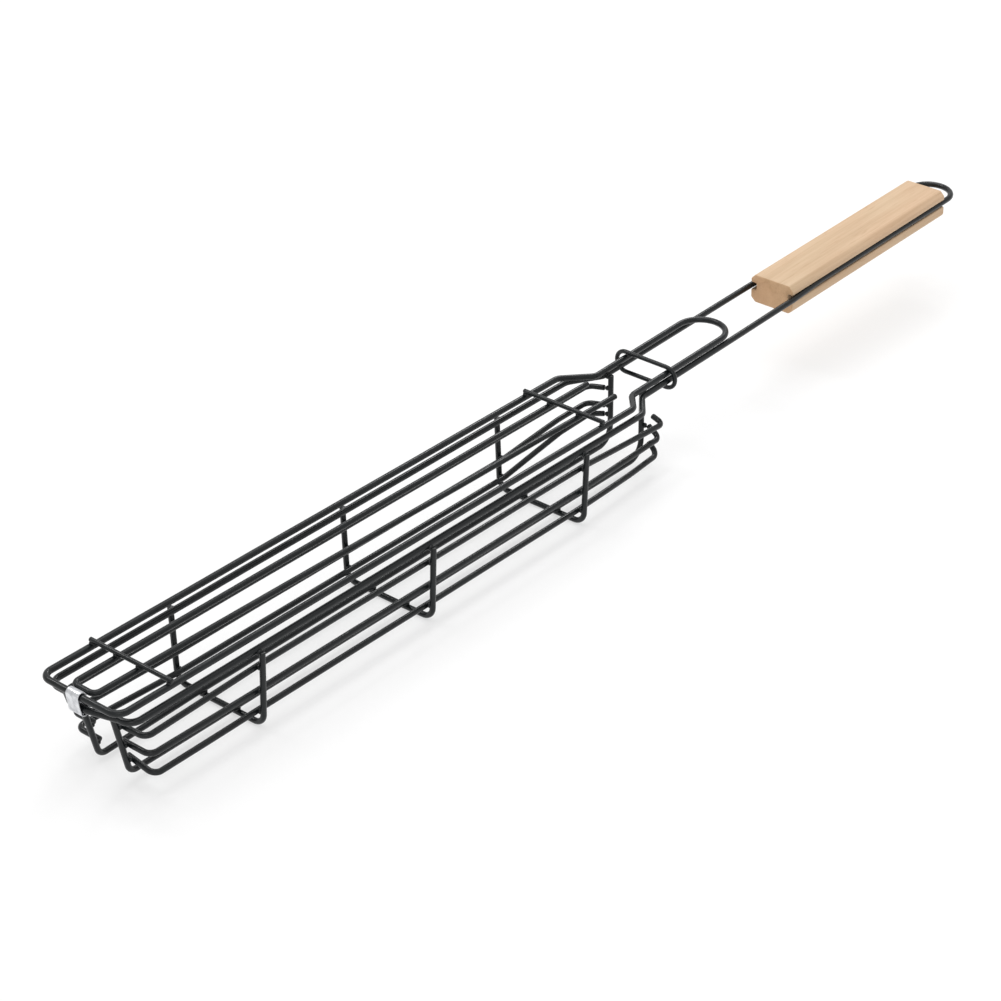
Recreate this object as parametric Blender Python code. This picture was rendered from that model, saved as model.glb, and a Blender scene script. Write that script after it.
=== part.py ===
"""Long, narrow grill basket: black wire tray, hinged wire lid, sliding lock ring and wooden grip.

Metres, +Z up. +X runs from the hinge end to the hanging loop, and +Y is the basket's left side.
The origin is the middle of the footprint, on the surface that the basket stands on.
Places along the length are given as distances from the foremost point, through the function at().
"""
import math

import bmesh
import bpy
from mathutils import Vector

# ---------------------------------------------------------------- driving dimensions
TOTAL_LENGTH = 0.568          # front of the hinge clip to the end of the hanging loop
MAIN_WIRE = 0.0028            # diameter of the rim and handle wire and of the lid frame
ROD_WIRE = 0.0025             # diameter of ribs, bottom rails, side wires and the lid's inner wire
THIN_WIRE = 0.0020            # diameter of the lid's crossbars and of the lock ring
GAP = 0.0003                  # air kept between neighbouring pieces
WIRE_SIDES = 8                # facets round a wire
ARC_STEP = math.radians(24)   # largest turn between two rings of a bent wire

RIM_HALF_WIDTH = 0.0216       # centre of the rim wire
RIM_HEIGHT = 0.0353
LID_HALF_WIDTH = 0.0209
LID_ABOVE_RIM = 0.0049
RIM_FRONT_HEIGHT = 0.0347     # the rim rises gently from here to RIM_HEIGHT
LID_FRONT_HALF_WIDTH = {"left": 0.0209, "right": 0.0201}
NECK_HALF_WIDTH = 0.0122      # centres of the two handle wires
TAIL_HALF_WIDTH = 0.0113      # centres of the lid's tail, which lies on the handle wires
GRIP_ENTRY_HALF_WIDTH = 0.0119  # centres of the handle wires at the grip's front
GRIP_WIRE_HALF_WIDTH = 0.0105  # centres of the handle wires inside the grip's grooves
HANDLE_RAKE = math.radians(1.6)
CORNER_RADIUS = 0.0050
BEND_RADIUS = 0.0060          # bends of the necks
ROD_BEND_RADIUS = 0.0035

CLIP_THICKNESS = 0.0005
CLIP_SIDE_RIGHT = -0.0013     # the clip sits left of the middle
CLIP_SIDE_LEFT = 0.0053
CLIP_SLOT = 0.0016            # opening of the folded strip, behind the two wires
CLIP_SAG = 0.0009             # how far the strip hangs below the rim wire

RAKE_START = 0.3055           # where the handle starts to rise
# Where the rim and the lid start and stop narrowing.
RIM_NECK = {"left": (0.3055, 0.3200), "right": (0.3040, 0.3155)}
LID_NECK = {"left": (0.2985, 0.3130), "right": (0.2985, 0.3095)}
TAIL_TIP = 0.3840
CROSSBAR_PLACES = {"lid_crossbar_front": 0.0277, "lid_crossbar_rear": 0.2773}
CROSSBAR_HALF_LENGTH = 0.0218
INNER_FRONT = 0.0062          # the lid's inner wire: a long U, open at the back
INNER_LEFT = (0.0081, 0.0078, 0.3030)  # half width at the front, at the back, and its end
INNER_RIGHT = (-0.0036, -0.0083, 0.3020)
INNER_RADIUS = 0.0030

RIB_PLACES = {"rib_front": 0.0706, "rib_middle": 0.1667, "rib_rear": 0.2626}
RIB_FOOT_HALF_WIDTH = 0.0232
RIB_RADIUS = 0.0052
# Front foot of each rail: distance, height and half width.
RAIL_FOOT = {"left": (0.0160, 0.0029, 0.0085), "right": (0.0148, 0.00405, 0.00925)}
RAIL_LEVEL_FROM = 0.0660      # a low foot's run has risen to its even height here
RAIL_TOP_FRONT = 0.0081
RAIL_FRONT_RADIUS = 0.0040
RAIL_BACK = {"left": 0.3211, "right": 0.3193}
RAIL_BACK_RADIUS = 0.0080
RAIL_TOP_RISE = 0.0007        # a rail's back end stands this much above the handle wire's centre

SIDE_LEVELS = {"upper": 0.0274, "middle": 0.0162, "lower": 0.0071}
# Front end of each side wire: half width and height of its corner, then of its bent-in tip.
SIDE_FRONT = {
    ("upper", "right"): (0.0213, 0.0257, 0.0065, 0.0257),
    ("middle", "right"): (0.0209, 0.0166, 0.0065, 0.0166),
    ("lower", "right"): (0.0205, 0.0068, 0.0065, 0.0095),
    ("upper", "left"): (0.0214, 0.0276, 0.0074, 0.0276),
    ("middle", "left"): (0.0210, 0.0174, 0.0094, 0.0174),
    ("lower", "left"): (0.0221, 0.0084, 0.0096, 0.0084),
}
# Rear end: height behind the last rib, then half width and height of the corner and of the tip.
SIDE_REAR = {
    ("upper", "right"): (0.0247, 0.0202, 0.0232, 0.0139, 0.0246),
    ("middle", "right"): (0.0158, 0.0185, 0.0156, 0.0118, 0.0191),
    ("lower", "right"): (0.0063, 0.0173, 0.0068, 0.0122, 0.0114),
    ("upper", "left"): (0.0279, 0.0204, 0.0284, 0.0118, 0.0300),
    ("middle", "left"): (0.0197, 0.0208, 0.0199, 0.0115, 0.0215),
    ("lower", "left"): (0.0138, 0.0190, 0.0150, 0.0118, 0.0171),
}
SIDE_REAR_KNEE = 0.2990
SIDE_REAR_CORNER = {"left": 0.3190, "right": 0.3203}
SIDE_REAR_TIP = {"left": 0.3200, "right": 0.3210}

GRIP_FRONT = 0.4270
GRIP_BACK = 0.5520
GRIP_HALF_WIDTH = 0.0117
GRIP_ABOVE = 0.0061           # top and bottom of the grip, measured from the handle wires
GRIP_BELOW = 0.0080
GRIP_CHAMFER = 0.0023
GRIP_FUNNEL = 0.0230          # length over which the handle wires draw together inside the grip
GROOVE_FLOOR = 0.0088         # half width of the grip between its grooves

RING_PLACE = 0.3345
RING_HALF_STRAIGHT = 0.0110
RING_SHIFT = 0.0005           # the ring hangs this far to the left
RING_PLAY = 0.0017            # looseness of the ring under the handle wires

# ---------------------------------------------------------------- places worked out from them
HINGE_PLACE = MAIN_WIRE / 2 + GAP + CLIP_THICKNESS
RIM_FRONT = HINGE_PLACE + 0.0008  # where the rim passes through the clip
RIM_CORNER = HINGE_PLACE + 0.0043
LID_HEIGHT = RIM_HEIGHT + LID_ABOVE_RIM
RIB_BAR_HEIGHT = ROD_WIRE / 2
RAIL_HEIGHT = RIB_BAR_HEIGHT + ROD_WIRE + GAP
RAIL_HALF_WIDTH = NECK_HALF_WIDTH - (MAIN_WIRE + ROD_WIRE) / 2 - GAP
# Bends of the rim's front, from the left to the right: distance, Y and radius.
RIM_FRONT_BENDS = [
    (RIM_CORNER, 0.0125, 0.0030),
    (RIM_FRONT, 0.0063, 0.0030),
    (RIM_FRONT, -0.0023, 0.0040),
    (RIM_CORNER, -0.0155, 0.0040),
]
RIB_TOP_HALF_WIDTH = RIM_HALF_WIDTH + (MAIN_WIRE + ROD_WIRE) / 2 + GAP
LOOP_CENTRE = TOTAL_LENGTH - MAIN_WIRE / 2 - GRIP_WIRE_HALF_WIDTH
LIFT = MAIN_WIRE + GAP        # the lid's tail above the handle wires


def at(distance):
    """X of a place, from its distance behind the foremost point."""
    return distance - TOTAL_LENGTH / 2


def handle_height(distance):
    """Height of the rim and, behind RAKE_START, of the handle wires."""
    if distance < RAKE_START:
        return RIM_FRONT_HEIGHT + (RIM_HEIGHT - RIM_FRONT_HEIGHT) * distance / RAKE_START
    return RIM_HEIGHT + math.tan(HANDLE_RAKE) * (distance - RAKE_START)


# ---------------------------------------------------------------- wire tools
def bent(corners, closed=False):
    """Points of a wire that runs through corners, each (point, bend radius), as lines and arcs."""
    points = []
    count = len(corners)
    for i, (corner, radius) in enumerate(corners):
        corner = Vector(corner)
        is_end = not closed and i in (0, count - 1)
        if is_end or radius == 0:
            points.append(corner)
            continue
        back = (Vector(corners[i - 1][0]) - corner).normalized()
        ahead = (Vector(corners[(i + 1) % count][0]) - corner).normalized()
        half_opening = back.angle(ahead) / 2
        turn = math.pi - 2 * half_opening
        centre = corner + (back + ahead).normalized() * (radius / math.sin(half_opening))
        first = corner + back * (radius / math.tan(half_opening)) - centre
        last = corner + ahead * (radius / math.tan(half_opening)) - centre
        steps = max(1, math.ceil(turn / ARC_STEP))
        for step in range(steps + 1):
            share = step / steps
            arm = (first * math.sin((1 - share) * turn) + last * math.sin(share * turn)) / math.sin(turn)
            points.append(centre + arm)
    return points


def wire_object(name, points, diameter, across, material, closed=False):
    """A round wire along points. across is a direction that the wire never runs along."""
    across = Vector(across)
    mesh = bmesh.new()
    rings = []
    count = len(points)
    for i, point in enumerate(points):
        before = points[i - 1] if closed or i > 0 else point
        after = points[(i + 1) % count] if closed or i < count - 1 else point
        into = (point - before).normalized() if before != point else (after - point).normalized()
        out = (after - point).normalized() if after != point else into
        along = (into + out).normalized()
        side = (across - along * across.dot(along)).normalized()
        other = along.cross(side)
        ring = []
        for k in range(WIRE_SIDES):
            turn = 2 * math.pi * k / WIRE_SIDES
            arm = side * math.cos(turn) + other * math.sin(turn)
            ring.append(mesh.verts.new(point + arm * diameter / 2))
        rings.append(ring)
    pairs = list(zip(rings, rings[1:]))
    if closed:
        pairs.append((rings[-1], rings[0]))
    for ring, following in pairs:
        for k in range(WIRE_SIDES):
            nxt = (k + 1) % WIRE_SIDES
            mesh.faces.new((ring[k], ring[nxt], following[nxt], following[k]))
    if not closed:
        mesh.faces.new(reversed(rings[0]))
        mesh.faces.new(rings[-1])
    return finish_object(name, mesh, material)


def extruded_object(name, outline, low_y, high_y, material):
    """A plate whose outline, a list of (x, z), is drawn out along Y."""
    mesh = bmesh.new()
    low = [mesh.verts.new((x, low_y, z)) for x, z in outline]
    high = [mesh.verts.new((x, high_y, z)) for x, z in outline]
    mesh.faces.new(low)
    mesh.faces.new(reversed(high))
    for i in range(len(outline)):
        j = (i + 1) % len(outline)
        mesh.faces.new((low[j], low[i], high[i], high[j]))
    return finish_object(name, mesh, material)


def finish_object(name, mesh, material):
    """Turn a bmesh into a named object with outward faces, smooth shading and a material."""
    bmesh.ops.recalc_face_normals(mesh, faces=mesh.faces)
    data = bpy.data.meshes.new(name)
    mesh.to_mesh(data)
    mesh.free()
    data.shade_smooth()
    data.set_sharp_from_angle(angle=math.radians(50))
    data.materials.append(material)
    obj = bpy.data.objects.new(name, data)
    bpy.context.scene.collection.objects.link(obj)
    return obj


def set_origin(obj, place):
    """Move an object's origin to a place and leave its shape where it is."""
    place = Vector(place)
    for vertex in obj.data.vertices:
        vertex.co -= place
    obj.location = place


# ---------------------------------------------------------------- materials
def principled(name, colour, roughness, metallic):
    material = bpy.data.materials.new(name)
    material.use_nodes = True
    shader = material.node_tree.nodes["Principled BSDF"]
    shader.inputs["Base Color"].default_value = (*colour, 1.0)
    shader.inputs["Roughness"].default_value = roughness
    shader.inputs["Metallic"].default_value = metallic
    return material


# ---------------------------------------------------------------- basket
def basket_frame_wire(material):
    """One wire: rim, neck, both handle wires and the hanging loop."""
    def side_corners(side_name):
        neck_start, neck_end = RIM_NECK[side_name]
        return [
            (RIM_CORNER, RIM_HALF_WIDTH, CORNER_RADIUS),
            (neck_start, RIM_HALF_WIDTH, BEND_RADIUS),
            (neck_end, NECK_HALF_WIDTH, BEND_RADIUS),
            (GRIP_FRONT, GRIP_ENTRY_HALF_WIDTH, 0),
            (GRIP_FRONT + GRIP_FUNNEL, GRIP_WIRE_HALF_WIDTH, 0),
            (LOOP_CENTRE, GRIP_WIRE_HALF_WIDTH, 0),
        ]

    left = [((at(d), y, handle_height(d)), radius) for d, y, radius in side_corners("left")]
    right = [((at(d), -y, handle_height(d)), radius) for d, y, radius in reversed(side_corners("right"))]
    front = [((at(d), y, handle_height(d)), radius) for d, y, radius in reversed(RIM_FRONT_BENDS)]
    loop = loop_arc(LOOP_CENTRE, GRIP_WIRE_HALF_WIDTH, handle_height)
    points = bent(left + loop + right + front, closed=True)
    return wire_object("basket_frame_wire", points, MAIN_WIRE, (0, 0, 1), material, closed=True)


def loop_arc(centre, radius, height):
    """The inner points of a half circle from the left side round to the right."""
    steps = math.ceil(math.pi / ARC_STEP)
    corners = []
    for step in range(1, steps):
        turn = math.pi / 2 - math.pi * step / steps
        place = centre + radius * math.cos(turn)
        corners.append(((at(place), radius * math.sin(turn), height(place)), 0))
    return corners


def rib(name, distance, material):
    """A U of wire that goes round the outside of all the long wires."""
    x = at(distance)
    corners = []
    for side in (1, -1):
        top = ((x, side * RIB_TOP_HALF_WIDTH, handle_height(distance)), 0)
        foot = ((x, side * RIB_FOOT_HALF_WIDTH, RIB_BAR_HEIGHT), RIB_RADIUS)
        corners += [top, foot] if side == 1 else [foot, top]
    return wire_object(name, bent(corners), ROD_WIRE, (1, 0, 0), material)


def rib_leg_half_width(height):
    """Half width of a rib's legs at a height."""
    share = (height - RIB_BAR_HEIGHT) / (RIM_HEIGHT - RIB_BAR_HEIGHT)
    return RIB_FOOT_HALF_WIDTH + share * (RIB_TOP_HALF_WIDTH - RIB_FOOT_HALF_WIDTH)


def rail_leg_place(height, side_name):
    """Distance of a rail's sloping front leg at a height."""
    foot, foot_height, _ = RAIL_FOOT[side_name]
    share = (height - foot_height) / (RIM_FRONT_HEIGHT - foot_height)
    return foot + share * (RAIL_TOP_FRONT - foot)


def rail_half_width(distance, side_name):
    """Half width of a rail's bottom run at a distance."""
    foot, _, front_y = RAIL_FOOT[side_name]
    share = (distance - foot) / (RAIL_BACK[side_name] - foot)
    return front_y + share * (RAIL_HALF_WIDTH - front_y)


def bottom_rail(name, side_name, material):
    """Front leg, bottom run and rear leg in one wire, between rim and handle wire."""
    side = 1 if side_name == "left" else -1
    foot, foot_height, foot_y = RAIL_FOOT[side_name]
    back = RAIL_BACK[side_name]
    back_y = side * RAIL_HALF_WIDTH
    corners = [
        ((at(RAIL_TOP_FRONT), side * foot_y, handle_height(RAIL_TOP_FRONT)), 0),
        ((at(foot), side * foot_y, foot_height), RAIL_FRONT_RADIUS),
        ((at(back), back_y, RAIL_HEIGHT), RAIL_BACK_RADIUS),
        ((at(back), back_y, handle_height(back) + RAIL_TOP_RISE), 0),
    ]
    if foot_height < RAIL_HEIGHT:
        level_y = side * rail_half_width(RAIL_LEVEL_FROM, side_name)
        corners.insert(2, ((at(RAIL_LEVEL_FROM), level_y, RAIL_HEIGHT), 0))
    return wire_object(name, bent(corners), ROD_WIRE, (0, 1, 0), material)


def side_wire(name, level, side_name, material):
    """A wire along one side, held inside the ribs, with both of its ends bent inwards."""
    side = 1 if side_name == "left" else -1
    height = SIDE_LEVELS[level]
    y = side * (rib_leg_half_width(height) - ROD_WIRE - GAP)
    front_y, front_z, front_tip_y, front_tip_z = SIDE_FRONT[level, side_name]
    knee_z, corner_y, corner_z, tip_y, tip_z = SIDE_REAR[level, side_name]
    front = rail_leg_place(front_tip_z, side_name) + (ROD_WIRE + GAP) * 1.13
    last_rib = max(RIB_PLACES.values())
    corner = SIDE_REAR_CORNER[side_name]
    knee_share = (SIDE_REAR_KNEE - last_rib) / (corner - last_rib)
    knee_y = y + knee_share * (side * corner_y - y)
    corners = [
        ((at(front), side * front_tip_y, front_tip_z), 0),
        ((at(front), side * front_y, front_z), ROD_BEND_RADIUS),
        ((at(min(RIB_PLACES.values())), y, height), 0),
        ((at(last_rib), y, height), 0),
        ((at(SIDE_REAR_KNEE), knee_y, knee_z), 0),
        ((at(corner), side * corner_y, corner_z), ROD_BEND_RADIUS),
        ((at(SIDE_REAR_TIP[side_name]), side * tip_y, tip_z), 0),
    ]
    return wire_object(name, bent(corners), ROD_WIRE, (0, 0, 1), material)


def hinge_clip(material):
    """A strip folded round the lid's front wire and the rim's front wire, open at the back."""
    lid = Vector((at(HINGE_PLACE), 0, LID_HEIGHT))
    rim = Vector((at(RIM_FRONT), 0, handle_height(RIM_FRONT)))
    down = (rim - lid).normalized()
    back = Vector((-down.z, 0, down.x))
    inner = MAIN_WIRE / 2 + GAP
    outer = inner + CLIP_THICKNESS
    middle = (lid + rim) / 2
    rim += down * CLIP_SAG

    def strip(reach):
        """One face of the strip, from its upper end over both wires to its lower end."""
        points = [middle + back * reach - down * CLIP_SLOT / 2]
        for centre, first in ((lid, 0), (rim, 180)):
            for step in range(9):
                turn = math.radians(first + 180 * step / 8)
                points.append(centre + (back * math.cos(turn) - down * math.sin(turn)) * reach)
        points.append(middle + back * reach + down * CLIP_SLOT / 2)
        return points

    outline = strip(inner) + strip(outer)[::-1]
    return extruded_object(
        "hinge_clip", [(p.x, p.z) for p in outline], CLIP_SIDE_RIGHT, CLIP_SIDE_LEFT, material)


def wooden_grip(material):
    """A chamfered block with a groove along each side for the handle wires."""
    chamfer = GRIP_CHAMFER
    groove_half = MAIN_WIRE / 2 + GAP
    right_side = [
        (GRIP_HALF_WIDTH - chamfer, GRIP_ABOVE),
        (GRIP_HALF_WIDTH, GRIP_ABOVE - chamfer),
        (GRIP_HALF_WIDTH, groove_half),
        (GROOVE_FLOOR, groove_half),
        (GROOVE_FLOOR, -groove_half),
        (GRIP_HALF_WIDTH, -groove_half),
        (GRIP_HALF_WIDTH, chamfer - GRIP_BELOW),
        (GRIP_HALF_WIDTH - chamfer, -GRIP_BELOW),
    ]
    section = right_side + [(-y, z) for y, z in reversed(right_side)]
    length = (GRIP_BACK - GRIP_FRONT) / math.cos(HANDLE_RAKE)
    mesh = bmesh.new()
    front = [mesh.verts.new((-length / 2, y, z)) for y, z in section]
    back = [mesh.verts.new((length / 2, y, z)) for y, z in section]
    mesh.faces.new(front)
    mesh.faces.new(reversed(back))
    for i in range(len(section)):
        j = (i + 1) % len(section)
        mesh.faces.new((front[j], front[i], back[i], back[j]))
    grip = finish_object("wooden_grip", mesh, material)
    middle = (GRIP_FRONT + GRIP_BACK) / 2
    grip.location = (at(middle), 0, handle_height(middle))
    grip.rotation_euler = (0, -HANDLE_RAKE, 0)
    return grip


# ---------------------------------------------------------------- lid
def tail_height(distance):
    """Height of the lid's tail, which lies on the handle wires."""
    return handle_height(distance) + LIFT


def lid_frame_wire(material):
    """One closed wire: the lid's outline, its neck and its round tail."""
    tail_centre = TAIL_TIP - TAIL_HALF_WIDTH

    def side_corners(side_name):
        neck_start, neck_end = LID_NECK[side_name]
        return [
            (HINGE_PLACE, LID_FRONT_HALF_WIDTH[side_name], LID_HEIGHT, CORNER_RADIUS),
            (neck_start, LID_HALF_WIDTH, LID_HEIGHT, BEND_RADIUS),
            (neck_end, TAIL_HALF_WIDTH, tail_height(neck_end), BEND_RADIUS),
            (tail_centre, TAIL_HALF_WIDTH, tail_height(tail_centre), 0),
        ]

    left = [((at(d), y, z), radius) for d, y, z, radius in side_corners("left")]
    right = [((at(d), -y, z), radius) for d, y, z, radius in reversed(side_corners("right"))]
    points = bent(left + loop_arc(tail_centre, TAIL_HALF_WIDTH, tail_height) + right, closed=True)
    return wire_object("lid_frame_wire", points, MAIN_WIRE, (0, 0, 1), material, closed=True)


def lid_inner_wire(material):
    """A long U under the crossbars, with its bend behind the hinge clip and two free ends."""
    height = LID_HEIGHT + (MAIN_WIRE - ROD_WIRE) / 2
    left_front, left_back, left_end = INNER_LEFT
    right_front, right_back, right_end = INNER_RIGHT
    corners = [
        ((at(left_end), left_back, height), 0),
        ((at(INNER_FRONT), left_front, height), INNER_RADIUS),
        ((at(INNER_FRONT), right_front, height), INNER_RADIUS),
        ((at(right_end), right_back, height), 0),
    ]
    return wire_object("lid_inner_wire", bent(corners), ROD_WIRE, (0, 0, 1), material)


def lid_crossbar(name, distance, material):
    height = LID_HEIGHT + (MAIN_WIRE + THIN_WIRE) / 2 + GAP
    ends = [Vector((at(distance), side * CROSSBAR_HALF_LENGTH, height)) for side in (-1, 1)]
    return wire_object(name, ends, THIN_WIRE, (0, 0, 1), material)


# ---------------------------------------------------------------- lock ring
def lock_ring(material):
    """A flat oval ring round the lid's tail and both handle wires."""
    top = LIFT + (MAIN_WIRE + THIN_WIRE) / 2 + GAP
    bottom = -(MAIN_WIRE + THIN_WIRE) / 2 - RING_PLAY
    radius = (top - bottom) / 2
    slope = Vector((math.cos(HANDLE_RAKE), 0, math.sin(HANDLE_RAKE)))
    up = Vector((-slope.z, 0, slope.x))
    centre = Vector((at(RING_PLACE), RING_SHIFT, handle_height(RING_PLACE))) + up * (top + bottom) / 2
    points = []
    steps = 8
    for side in (1, -1):
        for step in range(steps + 1):
            turn = math.pi * step / steps
            out = side * (RING_HALF_STRAIGHT + radius * math.sin(turn))
            points.append(centre + Vector((0, out, 0)) + up * (side * radius * math.cos(turn)))
    return wire_object("lock_ring", points, THIN_WIRE, slope, material, closed=True)


# ---------------------------------------------------------------- assembly
def main():
    for obj in list(bpy.data.objects):
        bpy.data.objects.remove(obj)

    coating = principled("black_coating", (0.018, 0.020, 0.022), 0.38, 0.0)
    tin = principled("tinned_steel", (0.72, 0.73, 0.75), 0.34, 1.0)
    wood = principled("light_wood", (0.72, 0.49, 0.29), 0.55, 0.0)

    basket_frame_wire(coating)
    for name, distance in RIB_PLACES.items():
        rib(name, distance, coating)
    for side_name in ("left", "right"):
        bottom_rail(f"bottom_rail_{side_name}", side_name, coating)
        for level in SIDE_LEVELS:
            side_wire(f"side_wire_{level}_{side_name}", level, side_name, coating)
    hinge_clip(tin)
    wooden_grip(wood)

    hinge = (at(HINGE_PLACE), 0, LID_HEIGHT)
    lid_pieces = [lid_frame_wire(coating), lid_inner_wire(coating)]
    lid_pieces += [lid_crossbar(name, distance, coating) for name, distance in CROSSBAR_PLACES.items()]
    for piece in lid_pieces:
        set_origin(piece, hinge)

    ring = lock_ring(coating)
    set_origin(ring, (at(RING_PLACE), 0, handle_height(RING_PLACE)))


main()
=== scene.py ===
"""The look of the grill basket: coated wires with their welds, the tinned hinge clip and the wooden grip.

Metres, +Z up. +X runs from the hinge end to the hanging loop. Every piece lies where its CAD node does.
Places along the length are distances from the foremost point, turned into X by at().
"""

import math

import bmesh
import bpy
from mathutils import Matrix, Vector, noise


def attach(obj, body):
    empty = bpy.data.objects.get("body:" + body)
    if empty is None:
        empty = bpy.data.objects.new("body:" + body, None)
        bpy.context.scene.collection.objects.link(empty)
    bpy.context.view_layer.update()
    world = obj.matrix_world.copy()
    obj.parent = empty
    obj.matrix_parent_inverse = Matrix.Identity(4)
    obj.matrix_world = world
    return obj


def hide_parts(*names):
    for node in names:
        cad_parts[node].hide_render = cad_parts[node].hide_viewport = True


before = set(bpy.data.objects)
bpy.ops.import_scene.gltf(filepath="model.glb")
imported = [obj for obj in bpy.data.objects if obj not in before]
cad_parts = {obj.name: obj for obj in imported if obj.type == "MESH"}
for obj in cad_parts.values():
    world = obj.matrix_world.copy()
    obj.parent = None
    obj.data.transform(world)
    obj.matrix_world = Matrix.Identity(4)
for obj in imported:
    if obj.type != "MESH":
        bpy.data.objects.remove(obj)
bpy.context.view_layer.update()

# ---------------------------------------------------------------- driving dimensions
TOTAL_LENGTH = 0.568
MAIN_WIRE = 0.0028            # rim, handle and lid frame wire
ROD_WIRE = 0.0025             # ribs, rails, side wires and the lid's inner wire
THIN_WIRE = 0.0020            # crossbars and lock ring
GAP = 0.0003                  # air between neighbouring CAD pieces
WIRE_SIDES = 20               # facets round a wire
ARC_STEP = math.radians(7)    # largest turn between two rings of a bent wire
RING_SPACING = 0.006          # distance between the rings of a straight wire
WAVINESS = 0.00012            # how far a straight wire strays from its line
END_ROUNDING = 0.00035        # rounding of a wire's cut end

RIM_HALF_WIDTH = 0.0216
RIM_HEIGHT = 0.0353
LID_HALF_WIDTH = 0.0209
LID_ABOVE_RIM = 0.0049
RIM_FRONT_HEIGHT = 0.0347
LID_FRONT_HALF_WIDTH = {"left": 0.0209, "right": 0.0201}
NECK_HALF_WIDTH = 0.0122
TAIL_HALF_WIDTH = 0.0113
GRIP_ENTRY_HALF_WIDTH = 0.0119
GRIP_WIRE_HALF_WIDTH = 0.0105
HANDLE_RAKE = math.radians(1.6)
CORNER_RADIUS = 0.0050
BEND_RADIUS = 0.0060
ROD_BEND_RADIUS = 0.0035

CLIP_THICKNESS = 0.0005
CLIP_SIDE_RIGHT = -0.0013
CLIP_SIDE_LEFT = 0.0053
CLIP_SLOT = 0.0016
CLIP_DENT = 0.00022           # depth of the dent in the clip's front
CLIP_EDGE_WAVE = 0.00012
CLIP_RIPPLE = 0.00005
CLIP_EDGE_ROUNDING = 0.00012
CLIP_SAG = 0.0009             # how far the clip hangs below the rim wire
RAKE_START = 0.3055           # where the handle starts to rise
# Where the rim and the lid start and stop narrowing.
RIM_NECK = {"left": (0.3055, 0.3200), "right": (0.3040, 0.3155)}
LID_NECK = {"left": (0.2985, 0.3130), "right": (0.2985, 0.3095)}
TAIL_TIP = 0.3840
CROSSBAR_PLACES = {"lid_crossbar_front": 0.0277, "lid_crossbar_rear": 0.2773}
CROSSBAR_HALF_LENGTH = 0.0218
INNER_FRONT = 0.0062
# Arms of the lid's inner wire: Y at the front, Y at the back and the end's distance.
INNER_LEFT = (0.0081, 0.0078, 0.3030)
INNER_RIGHT = (-0.0036, -0.0083, 0.3020)
INNER_RADIUS = 0.0030

RIB_PLACES = {"rib_front": 0.0706, "rib_middle": 0.1667, "rib_rear": 0.2626}
RIB_FOOT_HALF_WIDTH = 0.0232
RIB_RADIUS = 0.0052
# Front foot of each rail: distance, height and half width.
RAIL_FOOT = {"left": (0.0160, 0.0029, 0.0085), "right": (0.0148, 0.00405, 0.00925)}
RAIL_LEVEL_FROM = 0.0660
RAIL_TOP_FRONT = 0.0081
RAIL_FRONT_RADIUS = 0.0040
RAIL_BACK = {"left": 0.3211, "right": 0.3193}
RAIL_BACK_RADIUS = 0.0080
RAIL_TOP_RISE = 0.0007

SIDE_LEVELS = {"upper": 0.0274, "middle": 0.0162, "lower": 0.0071}
# Front end of each side wire: half width and height of its corner, then of its bent-in tip.
SIDE_FRONT = {
    ("upper", "right"): (0.0213, 0.0257, 0.0065, 0.0257),
    ("middle", "right"): (0.0209, 0.0166, 0.0065, 0.0166),
    ("lower", "right"): (0.0205, 0.0068, 0.0065, 0.0095),
    ("upper", "left"): (0.0214, 0.0276, 0.0074, 0.0276),
    ("middle", "left"): (0.0210, 0.0174, 0.0094, 0.0174),
    ("lower", "left"): (0.0221, 0.0084, 0.0096, 0.0084),
}
# Rear end: height behind the last rib, then half width and height of the corner and of the tip.
SIDE_REAR = {
    ("upper", "right"): (0.0247, 0.0202, 0.0232, 0.0139, 0.0246),
    ("middle", "right"): (0.0158, 0.0185, 0.0156, 0.0118, 0.0191),
    ("lower", "right"): (0.0063, 0.0173, 0.0068, 0.0122, 0.0114),
    ("upper", "left"): (0.0279, 0.0204, 0.0284, 0.0118, 0.0300),
    ("middle", "left"): (0.0197, 0.0208, 0.0199, 0.0115, 0.0215),
    ("lower", "left"): (0.0138, 0.0190, 0.0150, 0.0118, 0.0171),
}
SIDE_REAR_KNEE = 0.2990
SIDE_REAR_CORNER = {"left": 0.3190, "right": 0.3203}
SIDE_REAR_TIP = {"left": 0.3200, "right": 0.3210}

GRIP_FRONT = 0.4270
GRIP_BACK = 0.5520
GRIP_HALF_WIDTH = 0.0117
GRIP_ABOVE = 0.0061
GRIP_BELOW = 0.0080
GRIP_CHAMFER = 0.0023
GRIP_FUNNEL = 0.0230          # length over which the handle wires draw together
GROOVE_FLOOR = 0.0088         # half width of the grip between its grooves
GRIP_EDGE_ROUNDING = 0.0006

RING_PLACE = 0.3345
RING_HALF_STRAIGHT = 0.0110
RING_SHIFT = 0.0005           # the ring hangs this far to the left
RING_PLAY = 0.0017            # looseness under the handle wires
WELD_LUMPINESS = 0.10
WELD_BELOW_RIM = 0.0006       # welds on the rim sit a little below its middle
RIM_WELD_OFFSET = (0.0019, 0.0008)  # rail leg's weld on the rim, behind RIM_FRONT and inwards
WELDED_TIP_LIMIT = 0.0120     # rear tips that reach further in than this are welded to the rail

# ---------------------------------------------------------------- places worked out from them
HINGE_PLACE = MAIN_WIRE / 2 + GAP + CLIP_THICKNESS
RIM_FRONT = HINGE_PLACE + 0.0008
RIM_CORNER = HINGE_PLACE + 0.0043
LID_HEIGHT = RIM_HEIGHT + LID_ABOVE_RIM
RIB_BAR_HEIGHT = ROD_WIRE / 2
RAIL_HEIGHT = RIB_BAR_HEIGHT + ROD_WIRE + GAP
RAIL_HALF_WIDTH = NECK_HALF_WIDTH - (MAIN_WIRE + ROD_WIRE) / 2 - GAP
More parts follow.
